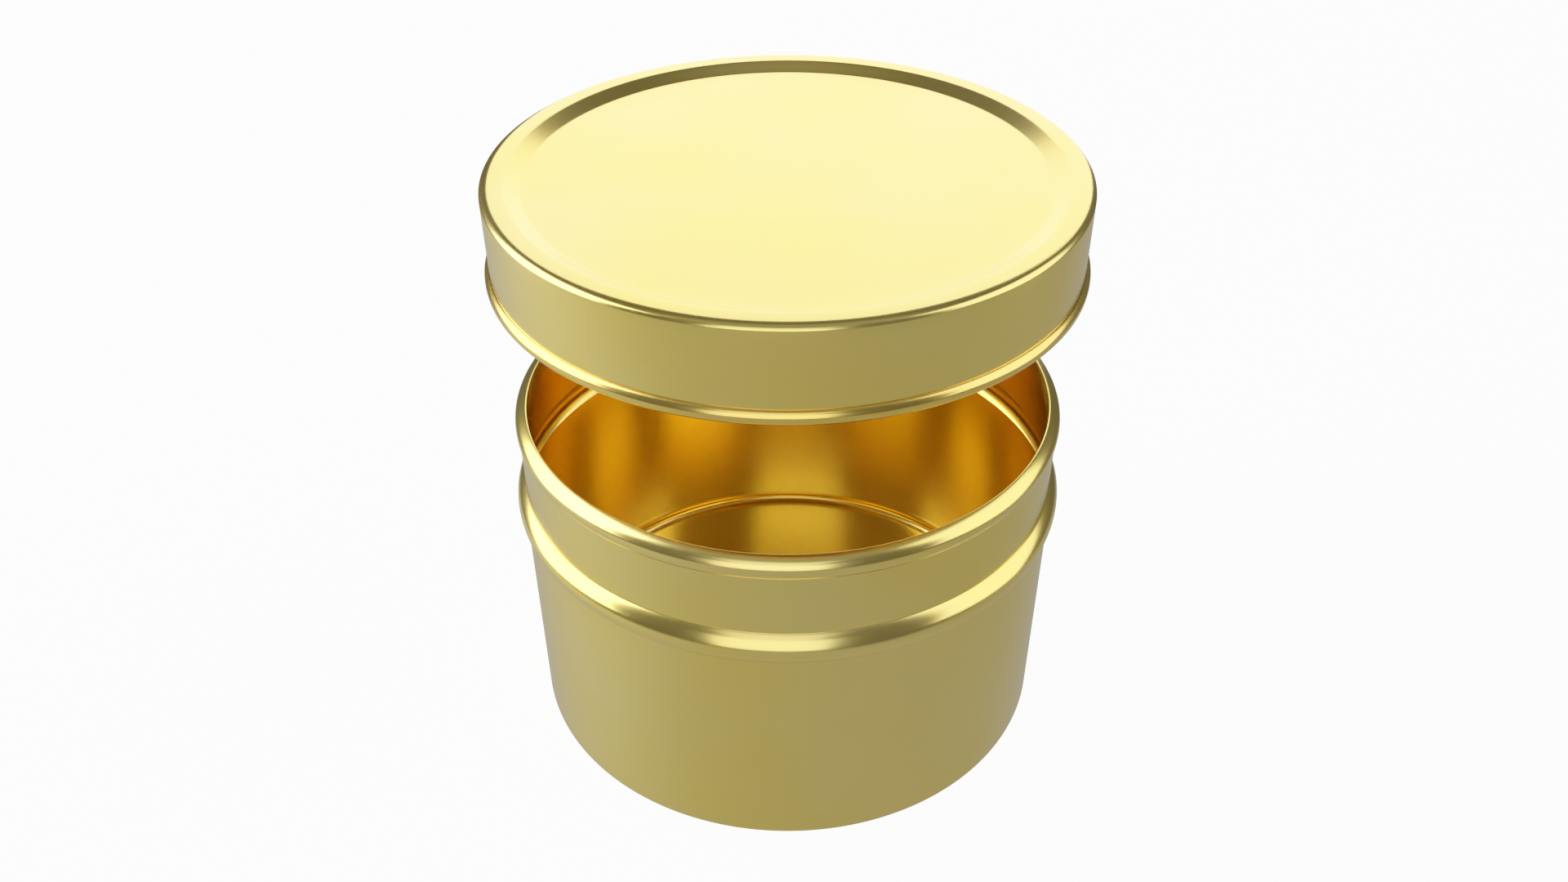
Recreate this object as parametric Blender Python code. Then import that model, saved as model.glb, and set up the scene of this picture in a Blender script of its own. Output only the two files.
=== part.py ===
"""Round cookie tin with a lift-off lid, made of tinplate.

Metres, +Z up. The origin is the centre of the face that the tin stands on. The lid is held
level above the open tin. Every sheet part is a line down the middle of its sheet, thickened
and turned about the Z axis.
"""

import math

import bmesh
import bpy

# Tinplate and the spaces that separate pieces.
SHEET = 0.0003
GAP = 0.0003
SEGMENTS = 48

# Body wall: outside radius, and the fold and ring at its foot that the tin stands on.
WALL_RADIUS = 0.0950
FOOT_BEND = 0.0010
FOOT_RING_INNER_RADIUS = 0.0880

# Stop bead pressed out of the wall, a round of this radius.
BEAD_RADIUS = 0.0073
BEAD_OUTSIDE_RADIUS = 0.0972
BEAD_HEIGHT = 0.0886

# Neck above the bead, and the rim rolled in from it.
NECK_RADIUS = 0.0937
RIM_OUTSIDE_RADIUS = 0.0945
RIM_RADIUS = 0.0034
RIM_LOWER_RADIUS = 0.0052
RIM_TOP_RADIUS = 0.0090
RIM_TOP_SLOPES = (36.0, 20.0)
RIM_EDGE_BEND = 0.0005
RIM_LEG = 0.0050
BODY_HEIGHT = 0.12455

# Bottom end: a shallow pressed cup inside the wall.
END_CORNER_RADIUS = 0.0038
END_FLANGE = 0.0014

# Sealing compound in the corner under the bottom end.
COMPOUND_INNER_RADIUS = 0.0925
COMPOUND_HEIGHT = 0.0021

# Lid: outside sizes.
LID_RADIUS = 0.0956
LID_HEIGHT = 0.03105
SHOULDER_REACH = 0.0029
SHOULDER_DROP = 0.00155
RECESS_DEPTH = 0.0023
RECESS_FOOT_RADIUS = 0.0830
RECESS_TOP_RADIUS = 0.0882
RECESS_ROUND = 0.0010

# Curl at the lid's lower edge, rolled outwards.
CURL_RADIUS = 0.0023
CURL_OUTSIDE_RADIUS = 0.09727
CURL_SIDE = 0.00055
CURL_EDGE_BEND = 0.0006
CURL_END_ANGLE = 25.0

# How far the lid is held above its closed place, where its flat edge lies on the rim.
LID_LIFT = 0.0814
LID_TOP = BODY_HEIGHT + GAP + SHEET + LID_LIFT

TINPLATE_GOLD = (1.0, 0.78, 0.22, 1.0)
LACQUER_GOLD = (1.0, 0.72, 0.17, 1.0)
COMPOUND_GREY = (0.32, 0.33, 0.32, 1.0)


def clear_scene():
    for obj in list(bpy.data.objects):
        bpy.data.objects.remove(obj, do_unlink=True)


def arc(centre, radius, start, end, steps, radius_z=None):
    """Points of an arc. Angles are in degrees from +Z, turning outwards from the axis."""
    points = []
    for step in range(steps + 1):
        angle = math.radians(start + (end - start) * step / steps)
        across = centre[0] + radius * math.sin(angle)
        up = centre[1] + (radius_z or radius) * math.cos(angle)
        points.append((across, up))
    return points


def along(distance, angle):
    """A step of that distance in the direction that is angle degrees from +Z, outwards from the axis."""
    return (distance * math.sin(math.radians(angle)), distance * math.cos(math.radians(angle)))


def angle_where(centre_radius, round_radius, crossing_radius):
    """Angle from +Z at which the upper half of a round crosses a given radius."""
    return math.degrees(math.asin((crossing_radius - centre_radius) / round_radius))


def rounded(before, corner, after, radius, steps):
    """The corner of a line replaced by an arc that is tangent to both of its sides."""
    sides = []
    for end in (before, after):
        length = math.dist(corner, end)
        sides.append(((end[0] - corner[0]) / length, (end[1] - corner[1]) / length))
    cosine = sides[0][0] * sides[1][0] + sides[0][1] * sides[1][1]
    half = math.acos(cosine) / 2
    reach = radius / math.tan(half)
    middle = (sides[0][0] + sides[1][0], sides[0][1] + sides[1][1])
    scale = radius / math.sin(half) / math.hypot(*middle)
    centre = (corner[0] + middle[0] * scale, corner[1] + middle[1] * scale)
    first = (corner[0] + sides[0][0] * reach, corner[1] + sides[0][1] * reach)
    start = math.atan2(first[0] - centre[0], first[1] - centre[1])
    turn = math.pi - 2 * half
    cross = sides[0][0] * sides[1][1] - sides[0][1] * sides[1][0]
    end = start + math.copysign(turn, cross)
    return arc(centre, radius, math.degrees(start), math.degrees(end), steps)


def sheet_outline(line, thickness):
    """Closed outline of a sheet of even thickness whose middle runs along the line."""
    left, right = [], []
    for index, point in enumerate(line):
        before = line[max(index - 1, 0)]
        after = line[min(index + 1, len(line) - 1)]
        normals = []
        for start, end in ((before, point), (point, after)):
            length = math.dist(start, end)
            if length:
                normals.append(((start[1] - end[1]) / length, (end[0] - start[0]) / length))
        across = sum(normal[0] for normal in normals) / len(normals)
        up = sum(normal[1] for normal in normals) / len(normals)
        mitre = thickness / 2 / (across**2 + up**2)
        left.append((point[0] + across * mitre, point[1] + up * mitre))
        right.append((point[0] - across * mitre, point[1] - up * mitre))
    return left + right[::-1]


def turned(name, outline, material):
    """The outline turned once about the Z axis, as one closed body named name."""
    mesh = bpy.data.meshes.new(name)
    shape = bmesh.new()
    rings = []
    for radius, height in outline:
        if radius <= 0:
            rings.append([shape.verts.new((0, 0, height))])
            continue
        ring = []
        for segment in range(SEGMENTS):
            angle = 2 * math.pi * segment / SEGMENTS
            ring.append(shape.verts.new((radius * math.cos(angle), radius * math.sin(angle), height)))
        rings.append(ring)
    for ring, following in zip(rings, rings[1:] + rings[:1]):
        if len(ring) == 1 and len(following) == 1:
            continue
        for segment in range(SEGMENTS):
            corners = []
            for vertex in (
                ring[segment % len(ring)],
                ring[(segment + 1) % len(ring)],
                following[(segment + 1) % len(following)],
                following[segment % len(following)],
            ):
                if vertex not in corners:
                    corners.append(vertex)
            shape.faces.new(corners)
    bmesh.ops.recalc_face_normals(shape, faces=shape.faces)
    shape.to_mesh(mesh)
    shape.free()
    mesh.shade_smooth()
    mesh.set_sharp_from_angle(angle=math.radians(30))
    mesh.materials.append(material)
    obj = bpy.data.objects.new(name, mesh)
    bpy.context.collection.objects.link(obj)
    return obj


def painted(name, colour, roughness, metallic):
    material = bpy.data.materials.new(name)
    material.use_nodes = True
    shader = material.node_tree.nodes["Principled BSDF"]
    shader.inputs["Base Color"].default_value = colour
    shader.inputs["Roughness"].default_value = roughness
    shader.inputs["Metallic"].default_value = metallic
    return material


def body_wall():
    """Wall sheet from its foot ring, up over the bead and the neck, to the end of its rolled rim."""
    half = SHEET / 2
    wall = WALL_RADIUS - half
    neck = NECK_RADIUS - half
    foot_centre = (WALL_RADIUS - FOOT_BEND, FOOT_BEND)
    bead_centre = (BEAD_OUTSIDE_RADIUS - BEAD_RADIUS, BEAD_HEIGHT)
    bead = BEAD_RADIUS - half
    outer_slope, inner_slope = RIM_TOP_SLOPES
    to_top = along(RIM_RADIUS - RIM_TOP_RADIUS, outer_slope)
    to_edge = along(RIM_TOP_RADIUS - RIM_EDGE_BEND, inner_slope)
    rim_height = BODY_HEIGHT - RIM_EDGE_BEND - to_top[1] - to_edge[1]
    rim_centre = (RIM_OUTSIDE_RADIUS - RIM_RADIUS, rim_height)
    top_centre = (rim_centre[0] + to_top[0], rim_centre[1] + to_top[1])
    edge_centre = (top_centre[0] + to_edge[0], top_centre[1] + to_edge[1])
    rim = RIM_RADIUS - half
    edge = RIM_EDGE_BEND - half
    line = [(FOOT_RING_INNER_RADIUS, half)]
    line += arc(foot_centre, FOOT_BEND - half, 180, 90, 2)
    bead_start = 180 - angle_where(bead_centre[0], bead, wall)
    bead_end = angle_where(bead_centre[0], bead, neck)
    line += arc(bead_centre, bead, bead_start, bead_end, 6)
    rim_start = 180 - angle_where(rim_centre[0], rim, neck)
    line += arc(rim_centre, rim, rim_start, 90, 2, radius_z=RIM_LOWER_RADIUS - half)
    line += arc(rim_centre, rim, 90, outer_slope, 3)[1:]
    line += arc(top_centre, RIM_TOP_RADIUS - half, outer_slope, inner_slope, 2)[1:]
    line += arc(edge_centre, edge, inner_slope, -90, 4)[1:]
    line.append((edge_centre[0] - edge, edge_centre[1] - RIM_LEG))
    return turned("body_wall", sheet_outline(line, SHEET), painted("tinplate", TINPLATE_GOLD, 0.25, 1.0))


def end_corner_centre():
    """Centre of the round between the bottom end's floor and its flange."""
    flange = WALL_RADIUS - SHEET - GAP
    floor = SHEET + GAP
    radius = END_CORNER_RADIUS + SHEET
    return (flange - radius, floor + radius)


def bottom_end():
    """Floor sheet that turns up inside the wall."""
    half = SHEET / 2
    centre = end_corner_centre()
    radius = END_CORNER_RADIUS + half
    line = [(0.0, centre[1] - radius)]
    line += arc(centre, radius, 180, 90, 5)
    line.append((centre[0] + radius, centre[1] + END_FLANGE))
    return turned("bottom_end", sheet_outline(line, SHEET), painted("lacquer", LACQUER_GOLD, 0.25, 1.0))


def seam_compound():
    """Ring of sealing compound between the wall's foot and the bottom end's corner."""
    centre = end_corner_centre()
    radius = END_CORNER_RADIUS + SHEET + GAP
    outside = WALL_RADIUS - SHEET - GAP
    floor = SHEET + GAP
    upper = 180 - math.degrees(math.acos((centre[1] - COMPOUND_HEIGHT) / radius))
    lower = 180 - angle_where(centre[0], radius, COMPOUND_INNER_RADIUS)
    outline = [(COMPOUND_INNER_RADIUS, floor), (outside - GAP, floor), (outside, floor + GAP)]
    outline.append((outside, COMPOUND_HEIGHT))
    outline += arc(centre, radius, upper, lower, 4)
    return turned("seam_compound", outline, painted("compound", COMPOUND_GREY, 0.7, 0.0))


def lid(top):
    """Lid sheet from the middle of its sunken panel out to the end of its curl."""
    half = SHEET / 2
    bottom = top - LID_HEIGHT
    panel = (0.0, top - RECESS_DEPTH - half)
    step_foot = (RECESS_FOOT_RADIUS, panel[1])
    step_top = (RECESS_TOP_RADIUS, top - half)
    shoulder_centre = (LID_RADIUS - SHOULDER_REACH, top - SHOULDER_DROP)
    edge_centre = (LID_RADIUS - SHEET + CURL_EDGE_BEND, bottom + CURL_EDGE_BEND)
    reach = CURL_RADIUS - CURL_EDGE_BEND
    curl_centre_radius = CURL_OUTSIDE_RADIUS - CURL_RADIUS
    aside = edge_centre[0] - curl_centre_radius
    curl_centre = (curl_centre_radius, edge_centre[1] + math.sqrt(reach**2 - aside**2))
    meeting = 180 - math.degrees(math.asin(aside / reach))
    line = [panel]
    line += rounded(panel, step_foot, step_top, RECESS_ROUND, 2)
    line += rounded(step_foot, step_top, shoulder_centre[:1] + step_top[1:], RECESS_ROUND, 2)
    line += arc(shoulder_centre, SHOULDER_REACH - half, 0, 90, 4, radius_z=SHOULDER_DROP - half)
    line += arc(edge_centre, CURL_EDGE_BEND - half, 270, meeting, 3)
    line += arc(curl_centre, CURL_RADIUS - half, meeting, 90, 3)[1:]
    line += arc((curl_centre[0], curl_centre[1] + CURL_SIDE), CURL_RADIUS - half, 90, CURL_END_ANGLE, 3)
    return turned("lid", sheet_outline(line, SHEET), painted("lid_tinplate", TINPLATE_GOLD, 0.22, 1.0))


def main():
    clear_scene()
    body_wall()
    bottom_end()
    seam_compound()
    lid(LID_TOP)


main()
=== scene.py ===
"""Looks of the round cookie tin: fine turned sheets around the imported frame, gold lacquer, soft studio light.

Metres, +Z up, in the frame's own place. Each sheet piece is a line down the middle of its sheet,
thickened and turned about the Z axis, and it stands for the frame node of the same sizes.
"""

import math

import bmesh
import bpy
from mathutils import Euler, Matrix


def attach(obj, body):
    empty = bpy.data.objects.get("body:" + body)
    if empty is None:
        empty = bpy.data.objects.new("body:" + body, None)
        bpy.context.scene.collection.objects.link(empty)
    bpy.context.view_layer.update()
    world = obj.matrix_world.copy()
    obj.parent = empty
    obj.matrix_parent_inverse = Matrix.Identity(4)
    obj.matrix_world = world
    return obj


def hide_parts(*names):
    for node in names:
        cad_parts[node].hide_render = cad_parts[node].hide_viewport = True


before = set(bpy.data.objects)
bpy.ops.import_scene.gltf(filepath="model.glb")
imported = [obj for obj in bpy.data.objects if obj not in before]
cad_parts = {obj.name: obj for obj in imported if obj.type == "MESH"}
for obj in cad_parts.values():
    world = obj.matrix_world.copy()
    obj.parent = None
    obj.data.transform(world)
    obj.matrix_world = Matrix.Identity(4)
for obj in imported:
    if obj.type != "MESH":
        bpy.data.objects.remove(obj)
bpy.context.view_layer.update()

# Tinplate, and how finely it is turned.
SHEET = 0.0003
HALF = SHEET / 2
SEGMENTS = 288
DISC_RINGS = 10
SHARP_ANGLE = 40.0

# How far a tight bend between two runs of the sheet reaches along each of them.
CREASE_REACH = 0.0003
BEAD_CREASE_REACH = 0.00014

# Body wall: outside radius, and the fold and ring at its foot that the tin stands on.
WALL_RADIUS = 0.0950
FOOT_BEND = 0.0010
FOOT_RING_INNER_RADIUS = 0.0880

# Stop bead pressed out of the wall, a round of this radius.
BEAD_RADIUS = 0.0073
BEAD_OUTSIDE_RADIUS = 0.0972
BEAD_HEIGHT = 0.0886

# Neck above the bead, and the rim rolled in from it.
NECK_RADIUS = 0.0937
RIM_OUTSIDE_RADIUS = 0.0945
RIM_RADIUS = 0.0034
RIM_LOWER_RADIUS = 0.0052
RIM_TOP_RADIUS = 0.0090
RIM_TOP_SLOPES = (36.0, 20.0)
RIM_EDGE_BEND = 0.0005
RIM_LEG = 0.0050
BODY_HEIGHT = 0.12455

# Bottom end: a shallow pressed cup inside the wall, a hair's breadth from it.
END_GAP = 0.00006
END_FLOOR = 0.0009
END_CORNER_RADIUS = 0.0038
END_FLANGE = 0.0014

# Sealing compound in the corner under the bottom end.
COMPOUND_INNER_RADIUS = 0.0896
COMPOUND_HEIGHT = 0.0021

# Lid: outside sizes, and the height that it is held at.
LID_TOP = 0.20655
LID_RADIUS = 0.0956
LID_HEIGHT = 0.03105
SHOULDER_REACH = 0.0029
SHOULDER_DROP = 0.00155
RECESS_DEPTH = 0.0023
RECESS_FOOT_RADIUS = 0.0830
RECESS_TOP_RADIUS = 0.0882
RECESS_CREASE_REACH = 0.0005

# Curl at the lid's lower edge, rolled outwards until its end nearly meets the skirt.
CURL_RADIUS = 0.0023
CURL_OUTSIDE_RADIUS = 0.09727
CURL_SIDE = 0.00055
CURL_EDGE_BEND = 0.0006
CURL_END_ANGLE = 19.0

# Camera: full-frame lens looking down at the tin from in front.
LENS_MM = 32.57
SENSOR_MM = 36.0
CAMERA_AT = (0.0, -0.41432, 0.39957)
LOOK_DOWN = 39.06
SHIFT = (-0.0023, 0.0521)

# Lacquer colours, and the tinplate that shows where the lacquer is rubbed thin.
OUTSIDE_GOLD = (1.0, 0.775, 0.205)
INSIDE_GOLD = (1.0, 0.71, 0.155)
BARE_TINPLATE = (1.0, 0.84, 0.42)
LACQUER_ROUGHNESS = 0.20

# How often the lacquer's marks change in a metre, and how deep they are.
CLOUDS_PER_METRE = (14.0, 14.0, 14.0)
SCUFFS_PER_METRE = (260.0, 260.0, 260.0)
PEEL_PER_METRE = (900.0, 900.0, 900.0)
PEEL_DEPTH = 0.0000016
UPRIGHT_GRAIN = (1400.0, 1400.0, 30.0)
LEVEL_GRAIN = (30.0, 1400.0, 1400.0)
GRAIN_DEPTH = 0.0000004

# How much thin lacquer pales and thick lacquer deepens, and what each mark adds to its roughness.
THIN_LACQUER = 0.05
THICK_LACQUER = 1.06
CLOUD_HAZE = 0.012
GRAIN_HAZE = 0.008
RUBBED_HAZE = 0.03

# Wear: the mesh attribute that says how sharply the sheet bends, the bend radius that is worn most,
# the noise at which wear starts and is full, and how much bare tinplate shows there.
BEND = "bend"
TIGHT_BEND = 0.0008
SCUFF_START = 0.35
SCUFF_FULL = 0.75
RUBBED_SHOWS = 0.2

# Most noise lies between these values.
NOISE_LOW = 0.3
NOISE_HIGH = 0.7

# Sealing compound: its lightest and darkest grey, its roughness, and the lumps in its skin.
COMPOUND_DARK = (0.27, 0.28, 0.27)
COMPOUND_LIGHT = (0.37, 0.38, 0.37)
COMPOUND_ROUGHNESS = (0.62, 0.78)
LUMPS_PER_METRE = (700.0, 700.0, 700.0)
LUMP_DEPTH = 0.00008

# Softboxes that stand round the tin: azimuth from +Y towards +X, degrees to each side of it,
# lowest and highest elevation, roll to the right as seen from the tin, all in degrees, and brightness.
SOFTBOX_DISTANCE = 3.0
SOFTBOXES = {
    "front": (186.0, 21.5, -15.0, 38.0, 0.0, 1.6),
    "front_top": (186.0, 15.5, 38.0, 66.0, 0.0, 1.2),
    "left": (-82.0, 26.0, -16.0, 57.5, 20.0, 4.0),
    "back": (5.0, 21.5, -14.0, 37.5, 0.0, 1.9),
    "right": (92.5, 26.0, -16.0, 58.0, -20.0, 1.85),
}

# Brightness of the room's walls, of its ceiling, which starts and is full at these heights on a
# sphere of radius 1, and of its floor, with the elevation of the floor's soft far edge in degrees.
ROOM = 0.12
CEILING = 0.30
CEILING_START = 0.85
CEILING_FULL = 0.97
ROOM_FLOOR = 0.36
ROOM_FLOOR_EDGE = -21.0
ROOM_FLOOR_EDGE_HALF = 4.0

# The floor is brighter towards the left softbox: a broad slope, and a patch this tight.
BRIGHT_SIDE = (-0.985, 0.17, 0.0)
BROAD_BRIGHTNESS = 0.10
PATCH_BRIGHTNESS = 0.55
PATCH_TIGHTNESS = 8.0

# Pale floor that the tin stands on: its flat radius, the radius of its upward curve, and its light.
FLOOR_RADIUS = 3.0
FLOOR_CURVE = 1.5
FLOOR_CURVE_STEPS = 12
FLOOR_GREY = (0.12, 0.12, 0.12, 1.0)
FLOOR_GLOW = 1.72

# Film response: brightness that is shown as full white, and how light is shown on the way there.
FILM_WHITE = 2.3
FILM_SHOULDER = ((0.3, 0.3), (0.6, 0.51), (0.9, 0.67), (1.2, 0.81), (1.5, 0.905), (1.8, 0.97))


# Lines and meshes.


def arc(centre, radius, start, end, steps, radius_z=None):
    """Points of an arc. Angles are in degrees from +Z, turning outwards from the axis."""
    points = []
    for step in range(steps + 1):
        angle = math.radians(start + (end - start) * step / steps)
        across = centre[0] + radius * math.sin(angle)
        up = centre[1] + (radius_z or radius) * math.cos(angle)
        points.append((across, up))
    return points


def angle_where(centre_radius, round_radius, crossing_radius):
    """Angle from +Z at which the upper half of a round crosses a given radius."""
    return math.degrees(math.asin((crossing_radius - centre_radius) / round_radius))


def along(distance, angle):
    """A step of that distance in the direction that is angle degrees from +Z, outwards from the axis."""
    return (distance * math.sin(math.radians(angle)), distance * math.cos(math.radians(angle)))


def between(start, end, share):
    return (start[0] + (end[0] - start[0]) * share, start[1] + (end[1] - start[1]) * share)


def shortened(line, length):
    """The line with a stretch of that length taken off its end."""
    line = list(line)
    while math.dist(line[-1], line[-2]) <= length:
        length -= math.dist(line[-1], line[-2])
        line.pop()
    line[-1] = between(line[-1], line[-2], length / math.dist(line[-1], line[-2]))
    return line


def creased(before, after, reach=CREASE_REACH, steps=6):
    """Two lines that share an end, joined with a tight bend in place of their sharp corner."""
    corner = before[-1]
    before = shortened(before, reach)
    after = shortened(after[::-1], reach)[::-1]
    bend = []
    for step in range(steps + 1):
        share = step / steps
        bend.append(between(between(before[-1], corner, share), between(corner, after[0], share), share))
    return before[:-1] + bend + after[1:]


def spread(start, end, count):
    """Points of a straight run, its two ends included."""
    return [between(start, end, step / count) for step in range(count + 1)]


def sheet_outline(line):
    """Closed outline of a sheet of even thickness whose middle runs along the line."""
    left, right = [], []
    for index, point in enumerate(line):
        before = line[max(index - 1, 0)]
        after = line[min(index + 1, len(line) - 1)]
        normals = []
        for start, end in ((before, point), (point, after)):
            length = math.dist(start, end)
            if length > 0:
                normals.append(((start[1] - end[1]) / length, (end[0] - start[0]) / length))
        across = sum(normal[0] for normal in normals) / len(normals)
        up = sum(normal[1] for normal in normals) / len(normals)
        mitre = HALF / (across**2 + up**2)
        left.append((point[0] + across * mitre, point[1] + up * mitre))
        right.append((point[0] - across * mitre, point[1] - up * mitre))
    return left + right[::-1]


def sharpness(outline):
    """How sharply the outline bends outwards at each point: 1 on a bend of the tight radius or less."""
    bends = []
    for index, point in enumerate(outline):
        before = outline[index - 1]
        after = outline[(index + 1) % len(outline)]
        first = math.atan2(point[1] - before[1], point[0] - before[0])
        second = math.atan2(after[1] - point[1], after[0] - point[0])
        turn = math.remainder(first - second, 2 * math.pi)
        length = (math.dist(before, point) + math.dist(point, after)) / 2
        bends.append(min(max(turn / length * TIGHT_BEND, 0.0), 1.0))
    return bends


def turned(name, outline, materials, second_from=None):
    """The outline turned about the Z axis, with the second material from outline point second_from on."""
    mesh = bpy.data.meshes.new(name)
    shape = bmesh.new()
    bend = shape.verts.layers.float.new(BEND)
    rings = []
    for (radius, height), sharp in zip(outline, sharpness(outline)):
        ring = []
        for segment in range(SEGMENTS if radius > 0 else 1):
            angle = 2 * math.pi * segment / SEGMENTS
            vertex = shape.verts.new((radius * math.cos(angle), radius * math.sin(angle), height))
            vertex[bend] = sharp
            ring.append(vertex)
        rings.append(ring)
    for index, (ring, following) in enumerate(zip(rings, rings[1:] + rings[:1])):
        if len(ring) == 1 and len(following) == 1:
            continue
        for segment in range(SEGMENTS):
            corners = []
            for vertex in (
                ring[segment % len(ring)],
                ring[(segment + 1) % len(ring)],
                following[(segment + 1) % len(following)],
                following[segment % len(following)],
            ):
                if vertex not in corners:
                    corners.append(vertex)
            face = shape.faces.new(corners)
            face.material_index = int(second_from is not None and index >= second_from)
    bmesh.ops.recalc_face_normals(shape, faces=shape.faces)
    shape.to_mesh(mesh)
    shape.free()
    mesh.shade_smooth()
    mesh.set_sharp_from_angle(angle=math.radians(SHARP_ANGLE))
    for material in materials:
        mesh.materials.append(material)
    obj = bpy.data.objects.new(name, mesh)
    bpy.context.collection.objects.link(obj)
    return obj


# Lines down the middle of each sheet.


def body_line():
    """Wall sheet from its foot ring, up over the bead and the neck, to the end of its rolled rim."""
    wall = WALL_RADIUS - HALF
    neck = NECK_RADIUS - HALF
    foot_centre = (WALL_RADIUS - FOOT_BEND, FOOT_BEND)
    bead_centre = (BEAD_OUTSIDE_RADIUS - BEAD_RADIUS, BEAD_HEIGHT)
    bead = BEAD_RADIUS - HALF
    bead_start = 180 - angle_where(bead_centre[0], bead, wall)
    bead_end = angle_where(bead_centre[0], bead, neck)
    outer_slope, inner_slope = RIM_TOP_SLOPES
    to_top = along(RIM_RADIUS - RIM_TOP_RADIUS, outer_slope)
    to_edge = along(RIM_TOP_RADIUS - RIM_EDGE_BEND, inner_slope)
    rim_height = BODY_HEIGHT - RIM_EDGE_BEND - to_top[1] - to_edge[1]
    rim_centre = (RIM_OUTSIDE_RADIUS - RIM_RADIUS, rim_height)
    top_centre = (rim_centre[0] + to_top[0], rim_centre[1] + to_top[1])
    edge_centre = (top_centre[0] + to_edge[0], top_centre[1] + to_edge[1])
    rim = RIM_RADIUS - HALF
    edge = RIM_EDGE_BEND - HALF
    rim_start = 180 - angle_where(rim_centre[0], rim, neck)

    foot = spread((FOOT_RING_INNER_RADIUS, HALF), (foot_centre[0], HALF), 4)
    foot += arc(foot_centre, FOOT_BEND - HALF, 180, 90, 10)[1:]
    bead_line = arc(bead_centre, bead, bead_start, bead_end, 32)
    rim_line = arc(rim_centre, rim, rim_start, 90, 12, radius_z=RIM_LOWER_RADIUS - HALF)
    rim_line += arc(rim_centre, rim, 90, outer_slope, 16)[1:]
    rim_line += arc(top_centre, RIM_TOP_RADIUS - HALF, outer_slope, inner_slope, 8)[1:]
    rim_line += arc(edge_centre, edge, inner_slope, -90, 12)[1:]
    rim_line += spread(rim_line[-1], (edge_centre[0] - edge, edge_centre[1] - RIM_LEG), 4)[1:]
    line = creased(foot + spread(foot[-1], bead_line[0], 12)[1:], bead_line)
    line = creased(line, spread(bead_line[-1], rim_line[0], 4), reach=BEAD_CREASE_REACH)
    return creased(line, rim_line)


def end_corner_centre():
    """Centre of the round between the bottom end's floor and its flange."""
    flange = WALL_RADIUS - SHEET - END_GAP - SHEET
    return (flange - END_CORNER_RADIUS, END_FLOOR + END_CORNER_RADIUS)


def end_line():
    """Floor sheet that turns up inside the wall."""
    centre = end_corner_centre()
    radius = END_CORNER_RADIUS + HALF
    line = spread((0.0, centre[1] - radius), (centre[0], centre[1] - radius), DISC_RINGS)
    line += arc(centre, radius, 180, 90, 20)[1:]
    line.append((centre[0] + radius, centre[1] + END_FLANGE))
    return line


def compound_outline():
    """Ring of sealing compound that fills the corner and swells a little out of the seam."""
    centre = end_corner_centre()
    radius = END_CORNER_RADIUS + SHEET + END_GAP
    outside = WALL_RADIUS - SHEET - END_GAP
    lowest = SHEET + END_GAP
    upper = 180 - math.degrees(math.acos((centre[1] - COMPOUND_HEIGHT) / radius))
    swell_centre = (COMPOUND_INNER_RADIUS, (lowest + centre[1] - radius) / 2)
    swell = swell_centre[1] - lowest
    outline = arc(swell_centre, swell, 0, -180, 6)
    outline += arc((outside - FOOT_BEND, lowest + FOOT_BEND), FOOT_BEND, 180, 90, 6)
    outline += arc((outside - END_GAP, COMPOUND_HEIGHT), END_GAP, 90, 0, 3)
    outline += arc(centre, radius, upper, 180, 10)
    return outline


def lid_line():
    """Lid sheet from the middle of its sunken panel out to the end of its curl."""
    bottom = LID_TOP - LID_HEIGHT
    panel = LID_TOP - RECESS_DEPTH - HALF
    flat = LID_TOP - HALF
    step_foot = (RECESS_FOOT_RADIUS, panel)
    step_top = (RECESS_TOP_RADIUS, flat)
    shoulder_centre = (LID_RADIUS - SHOULDER_REACH, LID_TOP - SHOULDER_DROP)
    edge_centre = (LID_RADIUS - SHEET + CURL_EDGE_BEND, bottom + CURL_EDGE_BEND)
    reach = CURL_RADIUS - CURL_EDGE_BEND
    curl_centre_radius = CURL_OUTSIDE_RADIUS - CURL_RADIUS
    aside = edge_centre[0] - curl_centre_radius
    curl_centre = (curl_centre_radius, edge_centre[1] + math.sqrt(reach**2 - aside**2))
    meeting = 180 - math.degrees(math.asin(aside / reach))

    line = spread((0.0, panel), step_foot, DISC_RINGS)
    line = creased(line, spread(step_foot, step_top, 2), RECESS_CREASE_REACH)
    shoulder = arc(shoulder_centre, SHOULDER_REACH - HALF, 0, 90, 16, radius_z=SHOULDER_DROP - HALF)
    line = creased(line, spread(step_top, shoulder[0], 2)[:-1] + shoulder, RECESS_CREASE_REACH)
    curl = arc(edge_centre, CURL_EDGE_BEND - HALF, 270, meeting, 8)
    curl += arc(curl_centre, CURL_RADIUS - HALF, meeting, 90, 12)[1:]
    curl += arc((curl_centre[0], curl_centre[1] + CURL_SIDE), CURL_RADIUS - HALF, 90, CURL_END_ANGLE, 16)
    return line + spread(shoulder[-1], curl[0], 6)[1:] + curl[1:]


# Materials.


def node(tree, kind, inputs=None, **settings):
    """A new node with its settings, and with a value or a link for each of its named inputs."""
    new = tree.nodes.new(kind)
    for setting, value in settings.items():
        setattr(new, setting, value)
    for name, value in (inputs or {}).items():
        if isinstance(value, bpy.types.NodeSocket):
            tree.links.new(value, new.inputs[name])
        else:
            new.inputs[name].default_value = value
    return new


def new_material(name):
    material = bpy.data.materials.new(name)
    material.use_nodes = True
    return material, material.node_tree, material.node_tree.nodes["Principled BSDF"]


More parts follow.
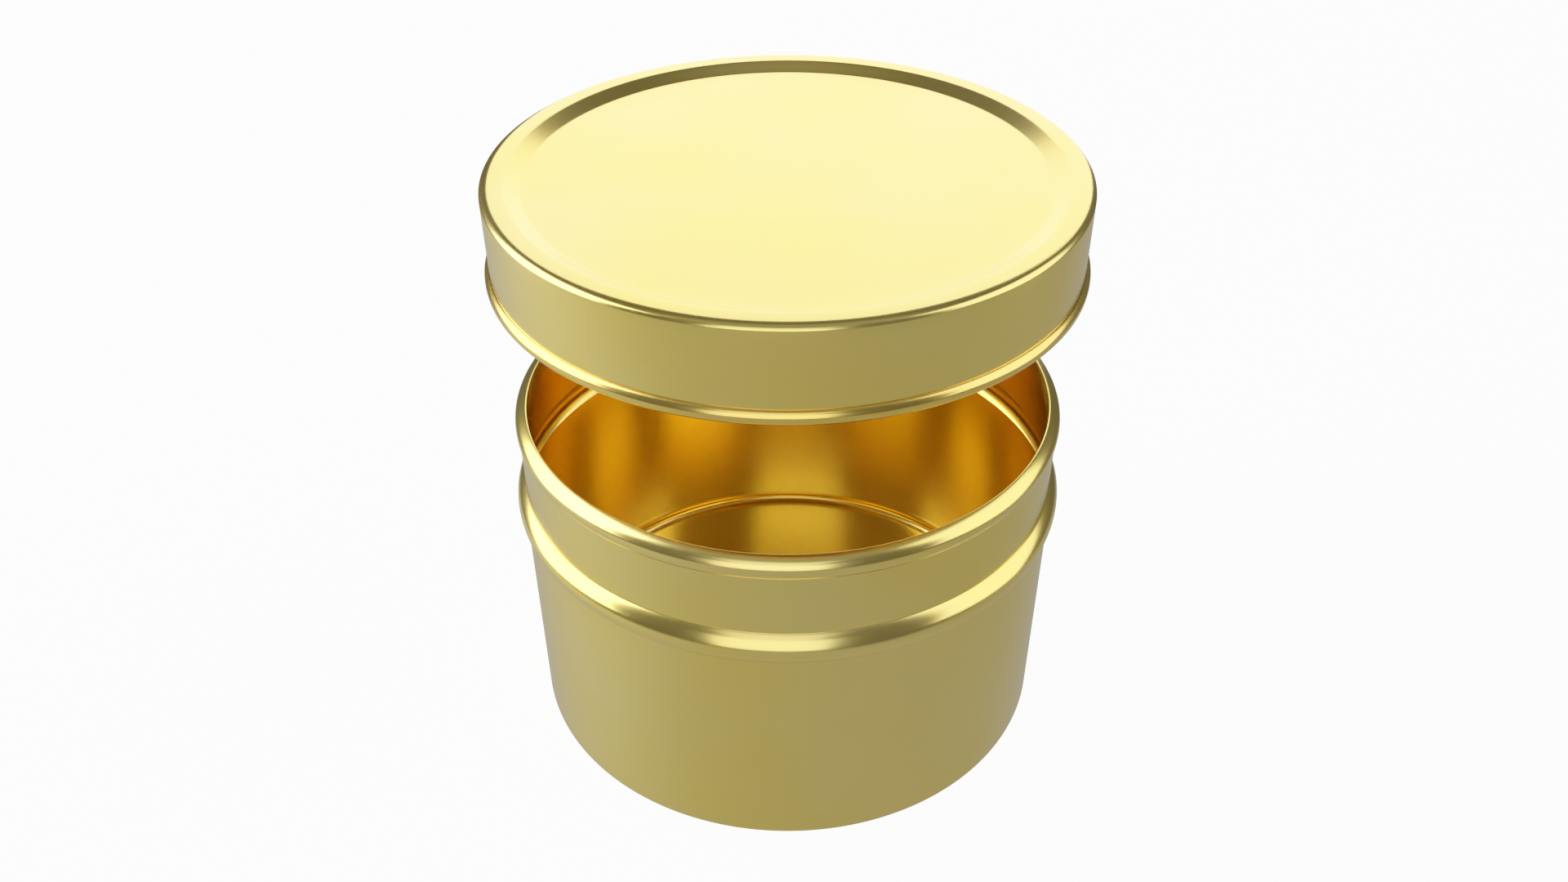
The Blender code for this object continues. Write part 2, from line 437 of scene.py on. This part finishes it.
def noise(tree, place, changes, detail):
    """Noise that changes so many times in a metre along X, Y and Z."""
    stretched = node(tree, "ShaderNodeMapping", {"Vector": place, "Scale": changes}).outputs[0]
    texture = node(tree, "ShaderNodeTexNoise", {"Vector": stretched, "Scale": 1.0, "Detail": detail})
    return texture.outputs["Fac"]


def ranged(tree, value, low, high, to_low, to_high):
    """A value from low to high, carried over to another range and held inside it."""
    inputs = {"Value": value, "From Min": low, "From Max": high, "To Min": to_low, "To Max": to_high}
    return node(tree, "ShaderNodeMapRange", inputs, interpolation_type="SMOOTHSTEP").outputs["Result"]


def mixed(tree, share, first, second):
    """One colour changing to another with the share. A mix node keeps its colours in sockets 6 and 7."""
    return node(tree, "ShaderNodeMix", {0: share, 6: first, 7: second}, data_type="RGBA").outputs[2]


def calculated(tree, operation, *inputs):
    return node(tree, "ShaderNodeMath", dict(enumerate(inputs)), operation=operation).outputs[0]


def bumped(tree, height, depth, normal=None):
    """The normal of a surface with that relief, on top of another relief if one is given."""
    inputs = {"Height": height, "Strength": 1.0, "Distance": depth}
    if normal:
        inputs["Normal"] = normal
    return node(tree, "ShaderNodeBump", inputs).outputs["Normal"]


def lacquer(name, colour, grain):
    """Clear gold lacquer on rolled tinplate.

    The sheet keeps a faint rolling grain that changes as often as grain says, the lacquer is a
    little uneven in thickness, and it is rubbed thin where the sheet bends most sharply.
    """
    material, tree, shader = new_material(name)
    place = node(tree, "ShaderNodeTexCoord").outputs["Object"]
    clouds = noise(tree, place, CLOUDS_PER_METRE, 2.0)
    streaks = noise(tree, place, grain, 2.0)
    peel = noise(tree, place, PEEL_PER_METRE, 1.0)
    scuffs = noise(tree, place, SCUFFS_PER_METRE, 3.0)
    bend = node(tree, "ShaderNodeAttribute", attribute_name=BEND).outputs["Fac"]
    rubbed = calculated(tree, "MULTIPLY", ranged(tree, scuffs, SCUFF_START, SCUFF_FULL, 0.0, 1.0), bend)

    thin = tuple(channel + (1 - channel) * THIN_LACQUER for channel in colour)
    thick = tuple(channel**THICK_LACQUER for channel in colour)
    gold = mixed(tree, ranged(tree, clouds, NOISE_LOW, NOISE_HIGH, 0.0, 1.0), (*thick, 1), (*thin, 1))
    gold = mixed(tree, calculated(tree, "MULTIPLY", rubbed, RUBBED_SHOWS), gold, (*BARE_TINPLATE, 1))
    tree.links.new(gold, shader.inputs["Base Color"])

    cloud_haze = ranged(tree, clouds, NOISE_LOW, NOISE_HIGH, -CLOUD_HAZE, CLOUD_HAZE)
    grain_haze = ranged(tree, streaks, NOISE_LOW, NOISE_HIGH, -GRAIN_HAZE, GRAIN_HAZE)
    haze = calculated(tree, "ADD", cloud_haze, LACQUER_ROUGHNESS)
    haze = calculated(tree, "ADD", haze, grain_haze)
    haze = calculated(tree, "MULTIPLY_ADD", rubbed, RUBBED_HAZE, haze)
    tree.links.new(haze, shader.inputs["Roughness"])
    shader.inputs["Metallic"].default_value = 1.0

    grained = bumped(tree, streaks, GRAIN_DEPTH)
    tree.links.new(bumped(tree, peel, PEEL_DEPTH, grained), shader.inputs["Normal"])
    return material


def sealing_compound():
    """Matt grey rubbery compound with a slightly lumpy skin."""
    material, tree, shader = new_material("compound")
    place = node(tree, "ShaderNodeTexCoord").outputs["Object"]
    lumps = noise(tree, place, LUMPS_PER_METRE, 4.0)
    grey = mixed(tree, lumps, (*COMPOUND_DARK, 1), (*COMPOUND_LIGHT, 1))
    tree.links.new(grey, shader.inputs["Base Color"])
    roughness = ranged(tree, lumps, NOISE_LOW, NOISE_HIGH, *COMPOUND_ROUGHNESS)
    tree.links.new(roughness, shader.inputs["Roughness"])
    tree.links.new(bumped(tree, lumps, LUMP_DEPTH), shader.inputs["Normal"])
    return material


def build_tin():
    wall_gold = lacquer("wall_gold", OUTSIDE_GOLD, UPRIGHT_GRAIN)
    wall_inside = lacquer("wall_inside", INSIDE_GOLD, UPRIGHT_GRAIN)
    end_gold = lacquer("end_gold", OUTSIDE_GOLD, LEVEL_GRAIN)
    end_inside = lacquer("end_inside", INSIDE_GOLD, LEVEL_GRAIN)
    lid_gold = lacquer("lid_gold", OUTSIDE_GOLD, LEVEL_GRAIN)
    lid_inside = lacquer("lid_inside", INSIDE_GOLD, LEVEL_GRAIN)
    line = body_line()
    body = turned("body_wall_fine", sheet_outline(line), [wall_inside, wall_gold], len(line) - 1)
    line = end_line()
    end = turned("bottom_end_fine", sheet_outline(line), [end_inside, end_gold], len(line) - 1)
    line = lid_line()
    lid = turned("lid_fine", sheet_outline(line), [lid_gold, lid_inside], len(line) - 1)
    compound = turned("seam_compound_fine", compound_outline(), [sealing_compound()])
    for obj, body_name, node_name, slot in (
        (body, "tin", "body_wall", "body_tinplate"),
        (end, "tin", "bottom_end", "end_tinplate"),
        (compound, "tin", "seam_compound", "seam_compound"),
        (lid, "lid", "lid", "lid_tinplate"),
    ):
        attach(obj, body_name)
        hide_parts(node_name)


def add_camera():
    data = bpy.data.cameras.new("camera")
    data.lens = LENS_MM
    data.sensor_width = SENSOR_MM
    data.shift_x, data.shift_y = SHIFT
    data.clip_start = 0.01
    camera = bpy.data.objects.new("camera", data)
    camera.location = CAMERA_AT
    camera.rotation_euler = (math.radians(90 - LOOK_DOWN), 0, 0)
    bpy.context.collection.objects.link(camera)
    bpy.context.scene.camera = camera


def add_softbox(name, azimuth, half_width, lowest, highest, roll, brightness):
    """A rectangular light that faces the tin and covers those angles as seen from it."""
    half_height = (highest - lowest) / 2
    around = math.radians(azimuth)
    up = math.radians((lowest + highest) / 2)
    data = bpy.data.lights.new(name, "AREA")
    data.shape = "RECTANGLE"
    data.size = 2 * SOFTBOX_DISTANCE * math.tan(math.radians(half_width))
    data.size_y = 2 * SOFTBOX_DISTANCE * math.tan(math.radians(half_height))
    data.energy = brightness * math.pi * data.size * data.size_y
    light = bpy.data.objects.new(name, data)
    light.location = (
        SOFTBOX_DISTANCE * math.cos(up) * math.sin(around),
        SOFTBOX_DISTANCE * math.cos(up) * math.cos(around),
        SOFTBOX_DISTANCE * math.sin(up) + BODY_HEIGHT,
    )
    facing = Euler((math.pi / 2 - up, 0, math.pi - around)).to_matrix()
    rolled = Euler((0, 0, math.radians(roll))).to_matrix()
    light.rotation_euler = (facing @ rolled).to_euler()
    light.visible_camera = False
    bpy.context.collection.objects.link(light)


def add_room():
    """Dim walls all round, a brighter ceiling, and a floor that is brightest on the left."""
    world = bpy.data.worlds.new("room")
    bpy.context.scene.world = world
    world.use_nodes = True
    tree = world.node_tree
    direction = node(tree, "ShaderNodeTexCoord").outputs["Generated"]
    height = node(tree, "ShaderNodeSeparateXYZ", {0: direction}).outputs["Z"]

    facing = {0: direction, 1: BRIGHT_SIDE}
    towards_left = node(tree, "ShaderNodeVectorMath", facing, operation="DOT_PRODUCT").outputs["Value"]
    slope = calculated(tree, "MULTIPLY_ADD", towards_left, 0.5, 0.5)
    patch = calculated(tree, "POWER", slope, PATCH_TIGHTNESS)
    floor = calculated(tree, "MULTIPLY_ADD", slope, BROAD_BRIGHTNESS, ROOM_FLOOR)
    floor = calculated(tree, "MULTIPLY_ADD", patch, PATCH_BRIGHTNESS, floor)

    lower_edge = math.sin(math.radians(ROOM_FLOOR_EDGE - ROOM_FLOOR_EDGE_HALF))
    upper_edge = math.sin(math.radians(ROOM_FLOOR_EDGE + ROOM_FLOOR_EDGE_HALF))
    inputs = {"Value": height, "From Min": lower_edge, "From Max": upper_edge}
    above_floor = node(tree, "ShaderNodeMapRange", inputs).outputs["Result"]
    walls = ranged(tree, height, CEILING_START, CEILING_FULL, ROOM, CEILING)
    inputs = {"Factor": above_floor, "A": floor, "B": walls}
    brightness = node(tree, "ShaderNodeMix", inputs, data_type="FLOAT").outputs["Result"]
    background = tree.nodes["Background"]
    background.inputs["Color"].default_value = (1, 1, 1, 1)
    tree.links.new(brightness, background.inputs["Strength"])


def add_floor():
    """A pale floor that curves up far away, seen by the camera and left out of reflections."""
    curve = arc((FLOOR_RADIUS, FLOOR_CURVE), FLOOR_CURVE, 180, 90, FLOOR_CURVE_STEPS)
    outline = spread((0.0, 0.0), curve[0], 8) + curve[1:] + [(FLOOR_RADIUS + FLOOR_CURVE, 2 * FLOOR_CURVE)]
    material, _, shader = new_material("pale_floor")
    shader.inputs["Base Color"].default_value = FLOOR_GREY
    shader.inputs["Roughness"].default_value = 1.0
    shader.inputs["Specular IOR Level"].default_value = 0.0
    shader.inputs["Emission Color"].default_value = (1, 1, 1, 1)
    shader.inputs["Emission Strength"].default_value = FLOOR_GLOW
    floor = open_turned("pale_floor", outline, material)
    floor.visible_diffuse = False
    floor.visible_glossy = False
    floor.visible_transmission = False
    floor.visible_shadow = False


def open_turned(name, outline, material):
    """An open surface turned about the Z axis, whose outline starts on the axis."""
    mesh = bpy.data.meshes.new(name)
    points = []
    for radius, height in outline[1:]:
        for segment in range(SEGMENTS):
            angle = 2 * math.pi * segment / SEGMENTS
            points.append((radius * math.cos(angle), radius * math.sin(angle), height))
    faces = [list(range(SEGMENTS))]
    for ring in range(len(outline) - 2):
        for segment in range(SEGMENTS):
            here = ring * SEGMENTS + segment
            beside = ring * SEGMENTS + (segment + 1) % SEGMENTS
            faces.append((here, here + SEGMENTS, beside + SEGMENTS, beside))
    mesh.from_pydata(points, [], faces)
    mesh.shade_smooth()
    mesh.materials.append(material)
    obj = bpy.data.objects.new(name, mesh)
    bpy.context.collection.objects.link(obj)
    return obj


def set_film():
    """A film response: true in the shadows, with a soft shoulder that keeps bright gold from clipping."""
    view = bpy.context.scene.view_settings
    view.view_transform = "Standard"
    view.use_curve_mapping = True
    mapping = view.curve_mapping
    mapping.white_level = (FILM_WHITE, FILM_WHITE, FILM_WHITE)
    curve = mapping.curves[3]
    for light, shown in FILM_SHOULDER:
        curve.points.new(light / FILM_WHITE, shown)
    mapping.update()


build_tin()
add_camera()
for softbox, shape in SOFTBOXES.items():
    add_softbox(softbox, *shape)
add_room()
add_floor()
set_film()
